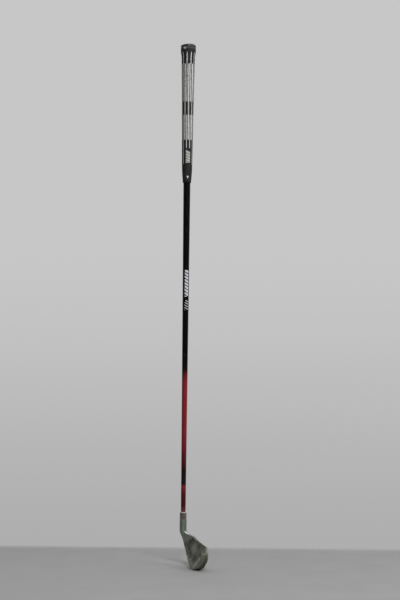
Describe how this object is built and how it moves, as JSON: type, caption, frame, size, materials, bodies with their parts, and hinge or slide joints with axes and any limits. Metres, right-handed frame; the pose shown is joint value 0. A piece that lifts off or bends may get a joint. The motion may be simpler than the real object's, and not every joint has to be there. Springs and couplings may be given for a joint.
{
  "type": "golf iron",
  "caption": "Left-handed golf iron: cavity-back steel head with offset neck and score lines, ferrule, tapered graphite shaft and rubber grip, for hitting a ball off turf.",
  "frame": {"origin": "centre of the butt cap's outer face, on the axis of the shaft", "axes": "+Z along the shaft's axis, out of the butt; +X towards the toe of the head; the striking face looks towards -Y"},
  "size_m": [0.0981, 0.0477, 0.9921],
  "materials": {
    "head_steel": "satin, worn and stained",
    "ferrule_plastic": "polished",
    "shaft_paint": "clear-coated, red fading to black",
    "grip_rubber": "matt, with white and grey stripes",
    "cap_rubber": "smooth",
    "tape_paper": "matt",
    "epoxy": "cured, glassy",
    "weight_brass": "turned"
  },
  "bodies": {
    "root": {"club_head": "head_steel", "hosel_epoxy": "epoxy", "tip_weight": "weight_brass", "ferrule": "ferrule_plastic", "shaft": "shaft_paint", "grip_tape": "tape_paper", "grip": "grip_rubber", "butt_cap": "cap_rubber"}
  },
  "joints": []
}
